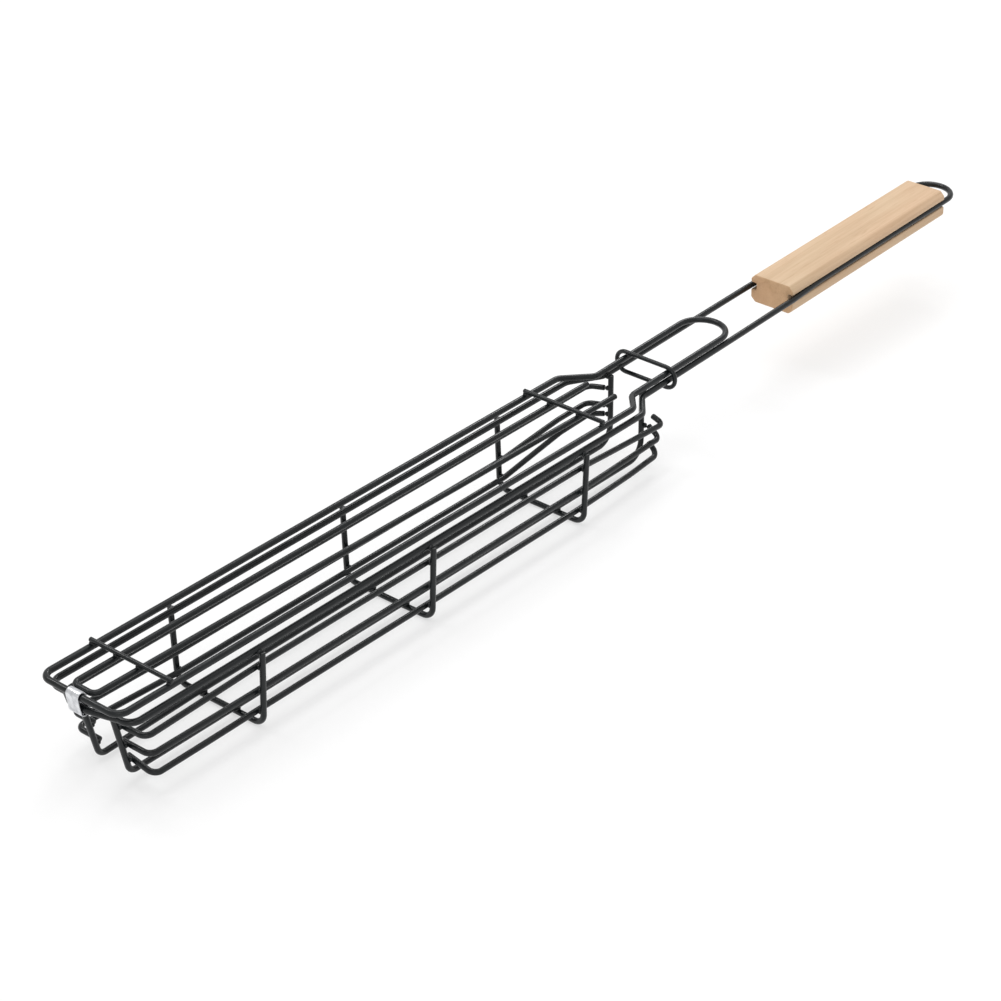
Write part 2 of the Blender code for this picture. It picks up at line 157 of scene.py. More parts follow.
# Bends of the rim's front, from the left to the right: distance, Y and radius.
RIM_FRONT_BENDS = [
    (RIM_CORNER, 0.0125, 0.0030),
    (RIM_FRONT, 0.0063, 0.0030),
    (RIM_FRONT, -0.0023, 0.0040),
    (RIM_CORNER, -0.0155, 0.0040),
]
RIB_TOP_HALF_WIDTH = RIM_HALF_WIDTH + (MAIN_WIRE + ROD_WIRE) / 2 + GAP
LOOP_CENTRE = TOTAL_LENGTH - MAIN_WIRE / 2 - GRIP_WIRE_HALF_WIDTH
LIFT = MAIN_WIRE + GAP
LEG_CLEARANCE = (ROD_WIRE + GAP) * 1.13
WELD_SIZE = ROD_WIRE * 0.46
THICK_WELD_SIZE = WELD_SIZE * 1.1
TIP_WELD_SIZE = WELD_SIZE * 0.9
SIDES = {"left": 1, "right": -1}

# ---------------------------------------------------------------- camera
CAMERA_PLACE = (-0.8399, -0.6789, 0.6358)
CAMERA_TARGET = (-0.0480, 0.0, 0.0156)
CAMERA_ROLL = math.radians(-0.405)
CAMERA_LENS = 104.62          # millimetres, on a 36 mm sensor


def at(distance):
    """X of a place, from its distance behind the foremost point."""
    return distance - TOTAL_LENGTH / 2


def handle_height(distance):
    """Height of the rim and, behind RAKE_START, of the handle wires."""
    if distance < RAKE_START:
        return RIM_FRONT_HEIGHT + (RIM_HEIGHT - RIM_FRONT_HEIGHT) * distance / RAKE_START
    return RIM_HEIGHT + math.tan(HANDLE_RAKE) * (distance - RAKE_START)


def tail_height(distance):
    """Height of the lid's tail, which lies on the handle wires."""
    return handle_height(distance) + LIFT


# ---------------------------------------------------------------- camera, light and floor
def make_camera():
    """A camera with a slight roll, looking at the basket from its front right."""
    place = Vector(CAMERA_PLACE)
    ahead = (Vector(CAMERA_TARGET) - place).normalized()
    right = ahead.cross(Vector((0, 0, 1))).normalized()
    up = right.cross(ahead)
    rolled_right = right * math.cos(CAMERA_ROLL) + up * math.sin(CAMERA_ROLL)
    rolled_up = up * math.cos(CAMERA_ROLL) - right * math.sin(CAMERA_ROLL)
    data = bpy.data.cameras.new("main_camera")
    data.lens = CAMERA_LENS
    data.sensor_width = 36
    data.clip_start = 0.05
    data.clip_end = 50
    camera = bpy.data.objects.new("main_camera", data)
    turn = Matrix((rolled_right, rolled_up, -ahead)).transposed()
    camera.matrix_world = Matrix.Translation(place) @ turn.to_4x4()
    bpy.context.scene.collection.objects.link(camera)
    bpy.context.scene.camera = camera


def area_light(name, place, target, size, power):
    """A square soft light that faces a target."""
    data = bpy.data.lights.new(name, "AREA")
    data.shape = "SQUARE"
    data.size = size
    data.energy = power
    light = bpy.data.objects.new(name, data)
    light.location = place
    light.rotation_euler = (Vector(target) - Vector(place)).to_track_quat("-Z", "Y").to_euler()
    bpy.context.scene.collection.objects.link(light)


def make_studio():
    """Plain pale floor, an even pale surround and soft lights."""
    world = bpy.data.worlds.new("studio")
    bpy.context.scene.world = world
    world.use_nodes = True
    background = world.node_tree.nodes["Background"]
    background.inputs["Color"].default_value = (1, 1, 1, 1)
    background.inputs["Strength"].default_value = 0.75
    area_light("softbox_top", (0.1, 0.2, 1.3), (0, 0, 0), 1.0, 6.0)
    area_light("softbox_front", (-1.1, -0.9, 0.9), (0, 0, 0), 0.6, 1.5)
    area_light("softbox_rear", (0.85, 0.45, 0.9), (0, 0, 0), 0.26, 2.6)
    area_light("softbox_left", (-0.25, 0.8, 1.05), (0, 0, 0), 0.26, 2.2)

    mesh = bmesh.new()
    bmesh.ops.create_grid(mesh, x_segments=1, y_segments=1, size=6)
    data = bpy.data.meshes.new("floor")
    mesh.to_mesh(data)
    mesh.free()
    floor = bpy.data.objects.new("floor", data)
    bpy.context.scene.collection.objects.link(floor)
    data.materials.append(floor_material())
    bpy.context.scene.view_settings.view_transform = "Standard"


# ---------------------------------------------------------------- materials
MIX_FIRST_COLOUR = 6          # sockets of a mix node that mixes colours
MIX_SECOND_COLOUR = 7
MIX_COLOUR_RESULT = 2


class Nodes:
    """Short ways to add nodes to a material that has a Principled BSDF."""

    def __init__(self, name):
        self.material = bpy.data.materials.new(name)
        self.material.use_nodes = True
        self.tree = self.material.node_tree
        self.shader = self.tree.nodes["Principled BSDF"]

    def add(self, kind, **inputs):
        node = self.tree.nodes.new(kind)
        for name, value in inputs.items():
            self.feed(node.inputs[name.replace("_", " ")], value)
        return node

    def feed(self, socket, value):
        if isinstance(value, bpy.types.NodeSocket):
            self.tree.links.new(value, socket)
        else:
            socket.default_value = value

    def place(self, scale):
        """Object coordinates, scaled per axis."""
        source = self.tree.nodes.new("ShaderNodeTexCoord")
        mapping = self.add("ShaderNodeMapping", Vector=source.outputs["Object"])
        mapping.inputs["Scale"].default_value = scale
        return mapping.outputs["Vector"]

    def noise(self, vector, scale, detail=3.0, roughness=0.5):
        node = self.add("ShaderNodeTexNoise", Vector=vector, Scale=scale, Detail=detail, Roughness=roughness)
        return node.outputs["Fac"]

    def ramp(self, value, stops):
        """Colours for a value, from stops of (position, colour)."""
        node = self.add("ShaderNodeValToRGB", Fac=value)
        elements = node.color_ramp.elements
        while len(elements) < len(stops):
            elements.new(0.5)
        for element, (position, colour) in zip(elements, stops):
            element.position = position
            element.color = (*colour, 1.0)
        return node.outputs["Color"]

    def spread(self, value, low, high, to_low=0.0, to_high=1.0):
        """A value's range from low to high, stretched to the range from to_low to to_high."""
        node = self.add("ShaderNodeMapRange", Value=value)
        for name, number in (("From Min", low), ("From Max", high), ("To Min", to_low), ("To Max", to_high)):
            node.inputs[name].default_value = number
        return node.outputs["Result"]

    def mix(self, share, first, second, blend="MIX"):
        node = self.tree.nodes.new("ShaderNodeMix")
        node.data_type = "RGBA"
        node.blend_type = blend
        self.feed(node.inputs["Factor"], share)
        self.feed(node.inputs[MIX_FIRST_COLOUR], first)
        self.feed(node.inputs[MIX_SECOND_COLOUR], second)
        return node.outputs[MIX_COLOUR_RESULT]

    def bump(self, height, strength, distance):
        node = self.add("ShaderNodeBump", Height=height, Strength=strength, Distance=distance)
        self.tree.links.new(node.outputs["Normal"], self.shader.inputs["Normal"])


def floor_material():
    """Pale paper that gives off a little light of its own, so that shadows on it stay faint."""
    nodes = Nodes("floor_paper")
    vector = nodes.place((1, 1, 1))
    shade = nodes.ramp(nodes.noise(vector, 3.0), [(0.3, (0.40, 0.40, 0.40)), (0.7, (0.41, 0.41, 0.41))])
    nodes.feed(nodes.shader.inputs["Base Color"], shade)
    nodes.shader.inputs["Roughness"].default_value = 0.9
    nodes.shader.inputs["Emission Color"].default_value = (1, 1, 1, 1)
    nodes.shader.inputs["Emission Strength"].default_value = 0.56
    nodes.shader.inputs["Specular IOR Level"].default_value = 0.1
    return nodes.material


def coating_material():
    """Black baked coating: slightly uneven, with a soft sheen and fine orange peel."""
    nodes = Nodes("black_coating_detail")
    vector = nodes.place((1, 1, 1))
    broad = nodes.noise(vector, 90.0, 3.0)
    fine = nodes.noise(vector, 1400.0, 3.0, 0.6)
    colour = nodes.ramp(broad, [(0.3, (0.0035, 0.0045, 0.0052)), (0.7, (0.0075, 0.0100, 0.0110))])
    speck = nodes.spread(nodes.noise(vector, 2600.0, 1.0), 0.66, 0.74)
    colour = nodes.mix(speck, colour, (0.018, 0.022, 0.024, 1.0))
    nodes.feed(nodes.shader.inputs["Base Color"], colour)
    nodes.feed(nodes.shader.inputs["Roughness"], nodes.spread(broad, 0.3, 0.7, 0.20, 0.32))
    nodes.shader.inputs["Specular IOR Level"].default_value = 0.34
    nodes.bump(fine, 0.25, 0.00012)
    return nodes.material


def tin_material():
    """Bright tinned sheet with rolling lines and smudges."""
    nodes = Nodes("tinned_steel_detail")
    lines = nodes.noise(nodes.place((400, 30, 400)), 3.0, 4.0, 0.6)
    smudge = nodes.noise(nodes.place((1, 1, 1)), 420.0, 3.0)
    colour = nodes.ramp(smudge, [(0.25, (0.42, 0.43, 0.45)), (0.6, (0.74, 0.75, 0.77))])
    nodes.feed(nodes.shader.inputs["Base Color"], colour)
    nodes.feed(nodes.shader.inputs["Roughness"], nodes.spread(smudge, 0.3, 0.7, 0.42, 0.26))
    nodes.shader.inputs["Metallic"].default_value = 1.0
    nodes.bump(lines, 0.2, 0.00008)
    return nodes.material


def wood_material():
    """Light straight-grained wood: soft growth bands, fine dark pores, darker end grain."""
    nodes = Nodes("light_wood_detail")
    bands = nodes.noise(nodes.place((5, 90, 90)), 2.2, 2.0)
    streaks = nodes.noise(nodes.place((14, 900, 900)), 1.6, 4.0, 0.6)
    pores = nodes.noise(nodes.place((90, 2200, 2200)), 1.0, 1.0)
    patches = nodes.noise(nodes.place((18, 60, 60)), 1.0, 2.0)
    colour = nodes.ramp(bands, [
        (0.30, (0.540, 0.395, 0.260)),
        (0.48, (0.590, 0.440, 0.299)),
        (0.70, (0.620, 0.468, 0.324)),
    ])
    tone = nodes.ramp(streaks, [(0.30, (0.80, 0.76, 0.70)), (0.62, (1.0, 1.0, 1.0))])
    colour = nodes.mix(0.40, colour, tone, "MULTIPLY")
    warm = nodes.ramp(patches, [(0.35, (1.0, 0.97, 0.92)), (0.65, (1.0, 0.92, 0.86))])
    colour = nodes.mix(1.0, colour, warm, "MULTIPLY")
    pore_share = nodes.spread(pores, 0.64, 0.76, 0.0, 0.45)
    colour = nodes.mix(pore_share, colour, (0.36, 0.20, 0.095, 1.0))
    normal = nodes.tree.nodes.new("ShaderNodeTexCoord").outputs["Normal"]
    along = nodes.add("ShaderNodeSeparateXYZ", Vector=normal).outputs["X"]
    size = nodes.add("ShaderNodeMath", Value=along)
    size.operation = "ABSOLUTE"
    end_share = nodes.spread(size.outputs["Value"], 0.5, 0.9, 0.0, 0.75)
    end_colour = nodes.mix(1.0, colour, (0.90, 0.76, 0.62, 1.0), "MULTIPLY")
    colour = nodes.mix(end_share, colour, end_colour)
    nodes.feed(nodes.shader.inputs["Base Color"], colour)
    nodes.feed(nodes.shader.inputs["Roughness"], nodes.spread(streaks, 0.3, 0.7, 0.66, 0.52))
    nodes.shader.inputs["Specular IOR Level"].default_value = 0.35
    nodes.bump(streaks, 0.35, 0.00010)
    return nodes.material


# ---------------------------------------------------------------- wire tools
def bent(corners, closed=False):
    """Points of a wire that runs through corners, each (point, bend radius), as lines and arcs."""
    points = []
    count = len(corners)
    for i, (corner, radius) in enumerate(corners):
        corner = Vector(corner)
        is_end = not closed and i in (0, count - 1)
        if is_end or radius == 0:
            points.append(corner)
            continue
        back = (Vector(corners[i - 1][0]) - corner).normalized()
        ahead = (Vector(corners[(i + 1) % count][0]) - corner).normalized()
        half_opening = back.angle(ahead) / 2
        turn = math.pi - 2 * half_opening
        centre = corner + (back + ahead).normalized() * (radius / math.sin(half_opening))
        first = corner + back * (radius / math.tan(half_opening)) - centre
        last = corner + ahead * (radius / math.tan(half_opening)) - centre
        steps = max(1, math.ceil(turn / ARC_STEP))
        for step in range(steps + 1):
            share = step / steps
            arm = (first * math.sin((1 - share) * turn) + last * math.sin(share * turn)) / math.sin(turn)
            points.append(centre + arm)
    return points


def spaced(points, closed):
    """The points with more of them on long straight stretches, which then stray a little."""
    result = []
    count = len(points)
    for i, point in enumerate(points):
        result.append(point)
        if not closed and i == count - 1:
            break
        following = points[(i + 1) % count]
        extra = int((following - point).length / RING_SPACING)
        for k in range(1, extra + 1):
            share = k / (extra + 1)
            stray = noise.noise_vector(point.lerp(following, share) * 22) * WAVINESS
            result.append(point.lerp(following, share) + stray * math.sin(math.pi * share))
    return result


def wire_mesh(mesh, points, diameter, across, closed=False):
    """Adds a round wire along points to a bmesh, with rounded cut ends."""
    across = Vector(across)
    points = spaced(points, closed)
    sizes = [diameter / 2] * len(points)
    if not closed:
        points, sizes = with_rounded_ends(points, diameter / 2)
    rings = []
    count = len(points)
    for i, point in enumerate(points):
        before = points[i - 1] if closed or i > 0 else point
        after = points[(i + 1) % count] if closed or i < count - 1 else point
        into = (point - before).normalized() if before != point else (after - point).normalized()
        out = (after - point).normalized() if after != point else into
        along = (into + out).normalized()
        side = (across - along * across.dot(along)).normalized()
        other = along.cross(side)
        ring = []
        for k in range(WIRE_SIDES):
            turn = 2 * math.pi * k / WIRE_SIDES
            arm = side * math.cos(turn) + other * math.sin(turn)
            ring.append(mesh.verts.new(point + arm * sizes[i]))
        rings.append(ring)
    pairs = list(zip(rings, rings[1:]))
    if closed:
        pairs.append((rings[-1], rings[0]))
    for ring, following in pairs:
        for k in range(WIRE_SIDES):
            nxt = (k + 1) % WIRE_SIDES
            mesh.faces.new((ring[k], ring[nxt], following[nxt], following[k]))
    if not closed:
        mesh.faces.new(reversed(rings[0]))
        mesh.faces.new(rings[-1])


def with_rounded_ends(points, radius):
    """Points and radii of an open wire whose two ends are rounded over END_ROUNDING."""
    def end(tip, inner):
        back = (inner - tip).normalized()
        rings = []
        for step in range(4):
            turn = math.pi / 2 * step / 4
            depth = END_ROUNDING * (1 - math.sin(turn))
            rings.append((tip + back * depth, radius - END_ROUNDING * (1 - math.cos(turn))))
        return rings

    first = end(points[0], points[1])[::-1]
    last = end(points[-1], points[-2])
    whole = first + [(point, radius) for point in points[1:-1]] + last
    return [point for point, _ in whole], [size for _, size in whole]


def show(name, mesh, material, body, nodes, sharp=40):
    """Makes a bmesh into a piece that rides on a body and stands for its CAD nodes."""
    bmesh.ops.recalc_face_normals(mesh, faces=mesh.faces)
    data = bpy.data.meshes.new(name)
    mesh.to_mesh(data)
    mesh.free()
    data.shade_smooth()
    data.set_sharp_from_angle(angle=math.radians(sharp))
    data.materials.append(material)
    piece = bpy.data.objects.new(name, data)
    bpy.context.scene.collection.objects.link(piece)
    if nodes:
        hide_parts(*nodes)
    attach(piece, body)
    return piece


def show_wire(node, points, diameter, across, body, material, closed=False):
    """Makes a coated wire that stands for the CAD node of the same name."""
    mesh = bmesh.new()
    wire_mesh(mesh, points, diameter, across, closed)
    return show(node + "_finish", mesh, material, body, [node])


# ---------------------------------------------------------------- welds
def weld_mesh(mesh, first, second, across, size):
    """Adds a weld between two wire centres, first and second. across is along one of the wires."""
    first, second = Vector(first), Vector(second)
    middle = (first + second) / 2
    join = (second - first).normalized()
    along = Vector(across)
    along = (along - join * along.dot(join)).normalized()
    side = join.cross(along)
    start = len(mesh.verts)
    bmesh.ops.create_icosphere(mesh, subdivisions=3, radius=1)
    mesh.verts.ensure_lookup_table()
    for vertex in mesh.verts[start:]:
        ball = vertex.co.copy()
        lump = 1 + WELD_LUMPINESS * noise.noise(ball * 1.7 + middle * 900)
        spot = join * ball.z * size * 0.95 + along * ball.x * size * 1.15 + side * ball.y * size * 1.05
        vertex.co = middle + spot * lump


def rib_leg_half_width(height):
    """Half width of a rib's legs at a height."""
    share = (height - RIB_BAR_HEIGHT) / (RIM_HEIGHT - RIB_BAR_HEIGHT)
    return RIB_FOOT_HALF_WIDTH + share * (RIB_TOP_HALF_WIDTH - RIB_FOOT_HALF_WIDTH)


def rail_leg_place(height, side_name):
    """Distance of a rail's sloping front leg at a height."""
    foot, foot_height, _ = RAIL_FOOT[side_name]
    share = (height - foot_height) / (RIM_FRONT_HEIGHT - foot_height)
    return foot + share * (RAIL_TOP_FRONT - foot)


def rail_half_width(distance, side_name):
    """Half width of a rail's bottom run at a distance."""
    foot, _, front_y = RAIL_FOOT[side_name]
    share = (distance - foot) / (RAIL_BACK[side_name] - foot)
    return front_y + share * (RAIL_HALF_WIDTH - front_y)


def side_wire_half_width(height):
    """Half width of a side wire between the ribs, which hold it from outside."""
    return rib_leg_half_width(height) - ROD_WIRE - GAP


def side_wire_front(height, side_name):
    """Distance of a side wire's bent-in front end, just behind the rail's sloping leg."""
    return rail_leg_place(height, side_name) + LEG_CLEARANCE


def basket_welds(material):
    """Welds between ribs, rails, side wires, rim and handle wires."""
    mesh = bmesh.new()
    for side_name, sign in SIDES.items():
        for distance in RIB_PLACES.values():
            x = at(distance)
            for height in SIDE_LEVELS.values():
                leg = (x, sign * rib_leg_half_width(height), height)
                run = (x, sign * side_wire_half_width(height), height)
                weld_mesh(mesh, leg, run, (1, 0, 0), WELD_SIZE)
            top = handle_height(distance) - WELD_BELOW_RIM
            leg = (x, sign * rib_leg_half_width(top), top)
            weld_mesh(mesh, leg, (x, sign * RIM_HALF_WIDTH, top), (1, 0, 0), THICK_WELD_SIZE)
            rail_y = sign * rail_half_width(distance, side_name)
            weld_mesh(mesh, (x, rail_y, RIB_BAR_HEIGHT), (x, rail_y, RAIL_HEIGHT), (1, 0, 0), WELD_SIZE)
        rail_y = sign * RAIL_FOOT[side_name][2]
        for level in SIDE_LEVELS:
            _, _, tip_y, height = SIDE_FRONT[level, side_name]
            y = sign * max(abs(rail_y), tip_y)
            leg = (at(rail_leg_place(height, side_name)), rail_y, height)
            tip = (at(side_wire_front(height, side_name)), y, height)
            weld_mesh(mesh, leg, tip, (0, 1, 0), TIP_WELD_SIZE)
        top = RIM_FRONT_HEIGHT - WELD_BELOW_RIM
        rim_back, rim_in = RIM_WELD_OFFSET
        rim = (at(RIM_FRONT + rim_back), rail_y - sign * rim_in, top)
        weld_mesh(mesh, rim, (at(RAIL_TOP_FRONT), rail_y, top), (0, 1, 0), THICK_WELD_SIZE)
        rear = RAIL_BACK[side_name]
        back = handle_height(rear)
        leg = (at(rear), sign * RAIL_HALF_WIDTH, back - GAP)
        weld_mesh(mesh, leg, (at(rear), sign * NECK_HALF_WIDTH, back), (1, 0, 0), THICK_WELD_SIZE)
    for (level, side_name), (*_, tip_y, tip_z) in SIDE_REAR.items():
        if tip_y < WELDED_TIP_LIMIT:
            sign = SIDES[side_name]
            leg = (at(RAIL_BACK[side_name]), sign * RAIL_HALF_WIDTH, tip_z)
            tip = (at(SIDE_REAR_TIP[side_name]), sign * tip_y, tip_z)
            weld_mesh(mesh, leg, tip, (0, 0, 1), TIP_WELD_SIZE)
    show("basket_welds", mesh, material, "basket", [])


def lid_welds(material):
    """Welds that hold the crossbars on the lid's two long wires and on its inner wire."""
    mesh = bmesh.new()
    bar_height = LID_HEIGHT + (MAIN_WIRE + THIN_WIRE) / 2 + GAP
    for distance in CROSSBAR_PLACES.values():
        x = at(distance)
        for side_name, sign in SIDES.items():
            front_y = LID_FRONT_HALF_WIDTH[side_name]
            y = sign * (front_y + (LID_HALF_WIDTH - front_y) * distance / LID_NECK[side_name][0])
            weld_mesh(mesh, (x, y, LID_HEIGHT), (x, y, bar_height), (1, 0, 0), THIN_WIRE * 0.55)
        for front, back, end in (INNER_LEFT, INNER_RIGHT):
            y = front + (back - front) * (distance - INNER_FRONT) / (end - INNER_FRONT)
            run = (x, y, LID_HEIGHT + (MAIN_WIRE - ROD_WIRE) / 2)
            weld_mesh(mesh, run, (x, y, bar_height), (1, 0, 0), THIN_WIRE * 0.52)
    show("lid_welds", mesh, material, "lid", [])


# ---------------------------------------------------------------- basket wires
def loop_arc(centre, radius, height):
    """The inner points of a half circle from the left side round to the right."""
    steps = math.ceil(math.pi / ARC_STEP)
    corners = []
    for step in range(1, steps):
        turn = math.pi / 2 - math.pi * step / steps
        place = centre + radius * math.cos(turn)
        corners.append(((at(place), radius * math.sin(turn), height(place)), 0))
    return corners


def basket_frame_wire(material):
    """One wire: rim, neck, both handle wires and the hanging loop."""
    def side_corners(side_name):
        neck_start, neck_end = RIM_NECK[side_name]
        return [
            (RIM_CORNER, RIM_HALF_WIDTH, CORNER_RADIUS),
            (neck_start, RIM_HALF_WIDTH, BEND_RADIUS),
            (neck_end, NECK_HALF_WIDTH, BEND_RADIUS),
            (GRIP_FRONT, GRIP_ENTRY_HALF_WIDTH, 0),
            (GRIP_FRONT + GRIP_FUNNEL, GRIP_WIRE_HALF_WIDTH, 0),
            (LOOP_CENTRE, GRIP_WIRE_HALF_WIDTH, 0),
        ]

    left = [((at(d), y, handle_height(d)), radius) for d, y, radius in side_corners("left")]
    right = [((at(d), -y, handle_height(d)), radius) for d, y, radius in reversed(side_corners("right"))]
    front = [((at(d), y, handle_height(d)), radius) for d, y, radius in reversed(RIM_FRONT_BENDS)]
    loop = loop_arc(LOOP_CENTRE, GRIP_WIRE_HALF_WIDTH, handle_height)
    points = bent(left + loop + right + front, closed=True)
    show_wire("basket_frame_wire", points, MAIN_WIRE, (0, 0, 1), "basket", material, closed=True)


def rib(name, distance, material):
    """A U of wire that goes round the outside of all the long wires."""
    x = at(distance)
    corners = []
    for side in (1, -1):
        top = ((x, side * RIB_TOP_HALF_WIDTH, handle_height(distance)), 0)
        foot = ((x, side * RIB_FOOT_HALF_WIDTH, RIB_BAR_HEIGHT), RIB_RADIUS)
        corners += [top, foot] if side == 1 else [foot, top]
    show_wire(name, bent(corners), ROD_WIRE, (1, 0, 0), "basket", material)


def bottom_rail(name, side_name, material):
    """Front leg, bottom run and rear leg in one wire, between rim and handle wire."""
    side = SIDES[side_name]
    foot, foot_height, foot_y = RAIL_FOOT[side_name]
    back = RAIL_BACK[side_name]
    back_y = side * RAIL_HALF_WIDTH
    corners = [
        ((at(RAIL_TOP_FRONT), side * foot_y, handle_height(RAIL_TOP_FRONT)), 0),
        ((at(foot), side * foot_y, foot_height), RAIL_FRONT_RADIUS),
        ((at(back), back_y, RAIL_HEIGHT), RAIL_BACK_RADIUS),
        ((at(back), back_y, handle_height(back) + RAIL_TOP_RISE), 0),
    ]
    if foot_height < RAIL_HEIGHT:
        level_y = side * rail_half_width(RAIL_LEVEL_FROM, side_name)
        corners.insert(2, ((at(RAIL_LEVEL_FROM), level_y, RAIL_HEIGHT), 0))
    show_wire(name, bent(corners), ROD_WIRE, (0, 1, 0), "basket", material)


def side_wire(name, level, side_name, material):
    """A wire along one side, held inside the ribs, with both of its ends bent inwards."""
    side = SIDES[side_name]
    height = SIDE_LEVELS[level]
    y = side * side_wire_half_width(height)
    front_y, front_z, front_tip_y, front_tip_z = SIDE_FRONT[level, side_name]
    knee_z, corner_y, corner_z, tip_y, tip_z = SIDE_REAR[level, side_name]
    front = side_wire_front(front_tip_z, side_name)
    last_rib = max(RIB_PLACES.values())
    corner = SIDE_REAR_CORNER[side_name]
    knee_share = (SIDE_REAR_KNEE - last_rib) / (corner - last_rib)
    knee_y = y + knee_share * (side * corner_y - y)
    corners = [
        ((at(front), side * front_tip_y, front_tip_z), 0),
        ((at(front), side * front_y, front_z), ROD_BEND_RADIUS),
        ((at(min(RIB_PLACES.values())), y, height), 0),
        ((at(last_rib), y, height), 0),
        ((at(SIDE_REAR_KNEE), knee_y, knee_z), 0),
        ((at(corner), side * corner_y, corner_z), ROD_BEND_RADIUS),
        ((at(SIDE_REAR_TIP[side_name]), side * tip_y, tip_z), 0),
    ]
    show_wire(name, bent(corners), ROD_WIRE, (0, 0, 1), "basket", material)


# ---------------------------------------------------------------- hinge clip
def hinge_clip(material):
    """A folded strip with a belly, a dent in its front and slightly uneven edges."""
    lid = Vector((at(HINGE_PLACE), 0, LID_HEIGHT))
    rim = Vector((at(RIM_FRONT), 0, handle_height(RIM_FRONT)))
    down = (rim - lid).normalized()
    back = Vector((-down.z, 0, down.x))
    inner = MAIN_WIRE / 2 + GAP
    outer = inner + CLIP_THICKNESS
    middle = (lid + rim) / 2
    rim += down * CLIP_SAG
    arc_steps = 16
    flat_steps = 8

    def strip(reach):
        """Places and outward directions round one face of the strip."""
        result = [(middle + back * reach - down * CLIP_SLOT / 2, back)]
        for step in range(arc_steps + 1):
            turn = math.pi * step / arc_steps
            arm = back * math.cos(turn) - down * math.sin(turn)
            result.append((lid + arm * reach, arm))
        for step in range(1, flat_steps):
            result.append(((lid - back * reach).lerp(rim - back * reach, step / flat_steps), -back))
        for step in range(arc_steps + 1):
            turn = math.pi + math.pi * step / arc_steps
            arm = back * math.cos(turn) - down * math.sin(turn)
            result.append((rim + arm * reach, arm))
        result.append((middle + back * reach + down * CLIP_SLOT / 2, back))
        return result

    columns = 18
    mesh = bmesh.new()

    def grid(reach):
        rows = []
        profile = strip(reach)
        for i, (spot, arm) in enumerate(profile):
            row = []
            round_share = i / (len(profile) - 1)
            for k in range(columns + 1):
                share = k / columns
                y = CLIP_SIDE_RIGHT + (CLIP_SIDE_LEFT - CLIP_SIDE_RIGHT) * share
                y += CLIP_EDGE_WAVE * noise.noise(Vector((round_share * 9, share * 2, 3.0))) * (2 * share - 1)
                across, along = (share - 0.62) / 0.16, (round_share - 0.5) / 0.07
                dent = CLIP_DENT * math.exp(-across ** 2 - along ** 2)
                ripple = CLIP_RIPPLE * noise.noise(Vector((round_share * 14, share * 5, 0.5)))
                row.append(mesh.verts.new(spot + Vector((0, y, 0)) + arm * (ripple - dent)))
            rows.append(row)
        return rows

    inside, outside = grid(inner), grid(outer)
    last = len(inside) - 1
    for i in range(last):
        for k in range(columns):
            mesh.faces.new((outside[i][k], outside[i + 1][k], outside[i + 1][k + 1], outside[i][k + 1]))
            mesh.faces.new((inside[i][k], inside[i][k + 1], inside[i + 1][k + 1], inside[i + 1][k]))
        for k in (0, columns):
            mesh.faces.new((inside[i][k], inside[i + 1][k], outside[i + 1][k], outside[i][k]))
    for k in range(columns):
        for i in (0, last):
            mesh.faces.new((inside[i][k], inside[i][k + 1], outside[i][k + 1], outside[i][k]))
    piece = show("hinge_clip_finish", mesh, material, "basket", ["hinge_clip"])
    edge = piece.modifiers.new("edge", "BEVEL")
    edge.width = CLIP_EDGE_ROUNDING
    edge.segments = 2
    edge.limit_method = "ANGLE"
    edge.angle_limit = math.radians(60)


# ---------------------------------------------------------------- grip
def wooden_grip(material):
    """A chamfered block with softened edges and a groove along each side."""
    groove_half = MAIN_WIRE / 2 + GAP
    chamfer = GRIP_CHAMFER
    side = [
        (GRIP_HALF_WIDTH - chamfer, GRIP_ABOVE),
        (GRIP_HALF_WIDTH, GRIP_ABOVE - chamfer),
        (GRIP_HALF_WIDTH, groove_half),
        (GROOVE_FLOOR, groove_half),
        (GROOVE_FLOOR, -groove_half),
        (GRIP_HALF_WIDTH, -groove_half),
        (GRIP_HALF_WIDTH, chamfer - GRIP_BELOW),
        (GRIP_HALF_WIDTH - chamfer, -GRIP_BELOW),
    ]
    section = side + [(-y, z) for y, z in reversed(side)]
    length = (GRIP_BACK - GRIP_FRONT) / math.cos(HANDLE_RAKE)
    stations = 40
    mesh = bmesh.new()
    rings = []
    for i in range(stations + 1):
        x = length * (i / stations - 0.5)
        rings.append([mesh.verts.new((x, y, z)) for y, z in section])
    mesh.faces.new(rings[0])
    mesh.faces.new(reversed(rings[-1]))
    for ring, following in zip(rings, rings[1:]):
        for i in range(len(section)):
            j = (i + 1) % len(section)
            mesh.faces.new((ring[j], ring[i], following[i], following[j]))
    bmesh.ops.recalc_face_normals(mesh, faces=mesh.faces)
    sharp = [edge for edge in mesh.edges if edge.calc_face_angle(0) > math.radians(20)]
    bmesh.ops.bevel(
        mesh,
        geom=sharp,
        offset=GRIP_EDGE_ROUNDING,
        offset_type="OFFSET",
        segments=4,
        profile=0.5,
        affect="EDGES",
    )
    grip = show("wooden_grip_finish", mesh, material, "basket", ["wooden_grip"], sharp=60)
    middle = (GRIP_FRONT + GRIP_BACK) / 2
    grip.matrix_world = (
        Matrix.Translation((at(middle), 0, handle_height(middle))) @ Matrix.Rotation(-HANDLE_RAKE, 4, "Y"))


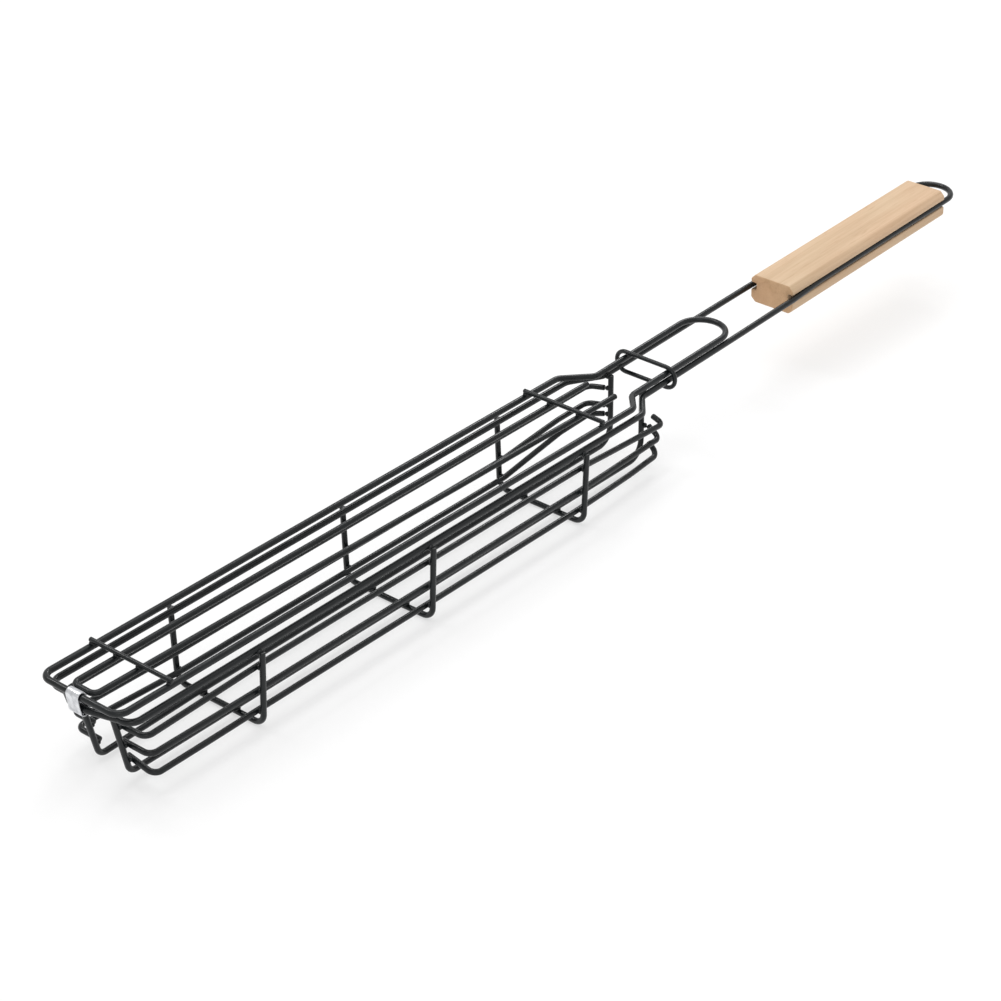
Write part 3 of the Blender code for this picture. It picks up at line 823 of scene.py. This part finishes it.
# ---------------------------------------------------------------- lid and ring
def lid_frame_wire(material):
    """One closed wire: the lid's outline, its neck and its round tail."""
    tail_centre = TAIL_TIP - TAIL_HALF_WIDTH

    def side_corners(side_name):
        neck_start, neck_end = LID_NECK[side_name]
        return [
            (HINGE_PLACE, LID_FRONT_HALF_WIDTH[side_name], LID_HEIGHT, CORNER_RADIUS),
            (neck_start, LID_HALF_WIDTH, LID_HEIGHT, BEND_RADIUS),
            (neck_end, TAIL_HALF_WIDTH, tail_height(neck_end), BEND_RADIUS),
            (tail_centre, TAIL_HALF_WIDTH, tail_height(tail_centre), 0),
        ]

    left = [((at(d), y, z), radius) for d, y, z, radius in side_corners("left")]
    right = [((at(d), -y, z), radius) for d, y, z, radius in reversed(side_corners("right"))]
    points = bent(left + loop_arc(tail_centre, TAIL_HALF_WIDTH, tail_height) + right, closed=True)
    show_wire("lid_frame_wire", points, MAIN_WIRE, (0, 0, 1), "lid", material, closed=True)


def lid_inner_wire(material):
    """A long U under the crossbars, with two free ends."""
    height = LID_HEIGHT + (MAIN_WIRE - ROD_WIRE) / 2
    left_front, left_back, left_end = INNER_LEFT
    right_front, right_back, right_end = INNER_RIGHT
    corners = [
        ((at(left_end), left_back, height), 0),
        ((at(INNER_FRONT), left_front, height), INNER_RADIUS),
        ((at(INNER_FRONT), right_front, height), INNER_RADIUS),
        ((at(right_end), right_back, height), 0),
    ]
    show_wire("lid_inner_wire", bent(corners), ROD_WIRE, (0, 0, 1), "lid", material)


def lid_crossbar(name, distance, material):
    """A thin wire across the top of the lid."""
    height = LID_HEIGHT + (MAIN_WIRE + THIN_WIRE) / 2 + GAP
    ends = [Vector((at(distance), side * CROSSBAR_HALF_LENGTH, height)) for side in (-1, 1)]
    show_wire(name, ends, THIN_WIRE, (0, 0, 1), "lid", material)


def lock_ring(material):
    """A flat oval ring round the lid's tail and both handle wires."""
    top = LIFT + (MAIN_WIRE + THIN_WIRE) / 2 + GAP
    bottom = -(MAIN_WIRE + THIN_WIRE) / 2 - RING_PLAY
    radius = (top - bottom) / 2
    slope = Vector((math.cos(HANDLE_RAKE), 0, math.sin(HANDLE_RAKE)))
    up = Vector((-slope.z, 0, slope.x))
    centre = Vector((at(RING_PLACE), RING_SHIFT, handle_height(RING_PLACE))) + up * (top + bottom) / 2
    points = []
    steps = 24
    for side in (1, -1):
        for step in range(steps + 1):
            turn = math.pi * step / steps
            out = side * (RING_HALF_STRAIGHT + radius * math.sin(turn))
            points.append(centre + Vector((0, out, 0)) + up * (side * radius * math.cos(turn)))
    show_wire("lock_ring", points, THIN_WIRE, slope, "lock_ring", material, closed=True)


# ---------------------------------------------------------------- assembly
def main():
    make_camera()
    make_studio()
    coating = coating_material()
    basket_frame_wire(coating)
    for name, distance in RIB_PLACES.items():
        rib(name, distance, coating)
    for side_name in SIDES:
        bottom_rail(f"bottom_rail_{side_name}", side_name, coating)
        for level in SIDE_LEVELS:
            side_wire(f"side_wire_{level}_{side_name}", level, side_name, coating)
    basket_welds(coating)
    hinge_clip(tin_material())
    wooden_grip(wood_material())
    lid_frame_wire(coating)
    lid_inner_wire(coating)
    for name, distance in CROSSBAR_PLACES.items():
        lid_crossbar(name, distance, coating)
    lid_welds(coating)
    lock_ring(coating)


main()
